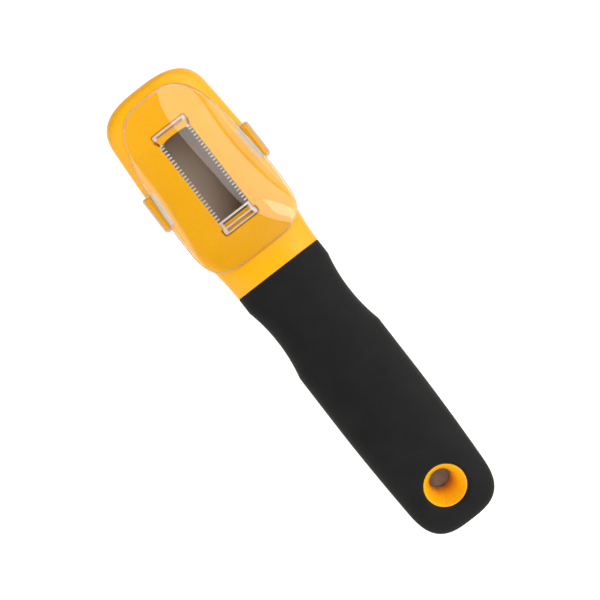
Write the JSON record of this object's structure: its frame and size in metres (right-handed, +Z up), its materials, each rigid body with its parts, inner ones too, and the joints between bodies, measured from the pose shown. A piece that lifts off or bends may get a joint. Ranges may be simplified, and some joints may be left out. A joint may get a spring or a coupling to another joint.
{
  "type": "corn peeler",
  "caption": "Hand-held corn peeler: rigid head with a toothed steel blade over a drop-out slot, soft grip with a hang hole, and a clear clip-on blade cover.",
  "frame": {"origin": "on the surface that the tool lies on, under the middle of its overall box", "axes": "+Y along the tool towards the tip of the head, +Z up out of the blade face, +X to the right when the head points away"},
  "size_m": [0.045, 0.185, 0.0225],
  "materials": {
    "core_plastic": "satin moulded, warm yellow",
    "grip_rubber": "soft matte moulded, black",
    "blade_steel": "stamped stainless, bright ground teeth",
    "cover_plastic": "clear moulded, polished"
  },
  "bodies": {
    "tool": {"handle_core": "core_plastic", "grip": "grip_rubber", "blade": "blade_steel"},
    "cover": {"blade_cover": "cover_plastic"}
  },
  "joints": [
    {"name": "cover_lift", "type": "slide", "parent": "tool", "child": "cover", "axis": [0, 0, 1], "range_m": [0, 0.03]}
  ]
}
